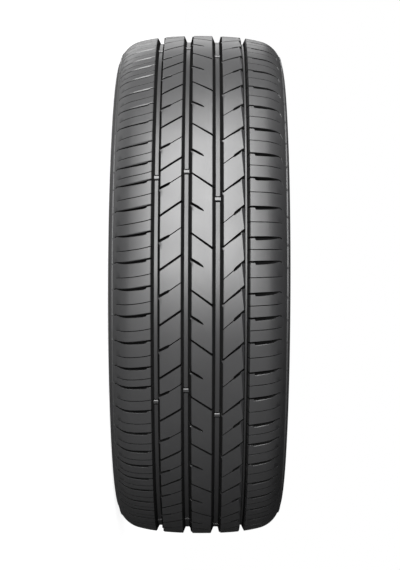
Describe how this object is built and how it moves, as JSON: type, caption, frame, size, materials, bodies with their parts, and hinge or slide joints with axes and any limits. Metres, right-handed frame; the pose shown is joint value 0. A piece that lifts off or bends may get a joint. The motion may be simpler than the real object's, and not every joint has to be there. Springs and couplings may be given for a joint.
{
  "type": "car tyre",
  "caption": "Black rubber car tyre with a ribbed, slanted-cut tread, rounded shoulders, plain sidewalls and bored bead seats for a wheel rim.",
  "frame": {"origin": "centre of the tyre, on its axis and half way between its sidewalls", "axes": "+Z along the tyre's axis, upwards as it lies on one sidewall; the tread's -Y side faces the viewer of the picture, whose right is +Z and whose top is -X"},
  "size_m": [0.631, 0.631, 0.205],
  "materials": {
    "rubber": "matt moulded rubber with a faint sheen"
  },
  "bodies": {
    "root": {"tyre": "rubber"}
  },
  "joints": []
}
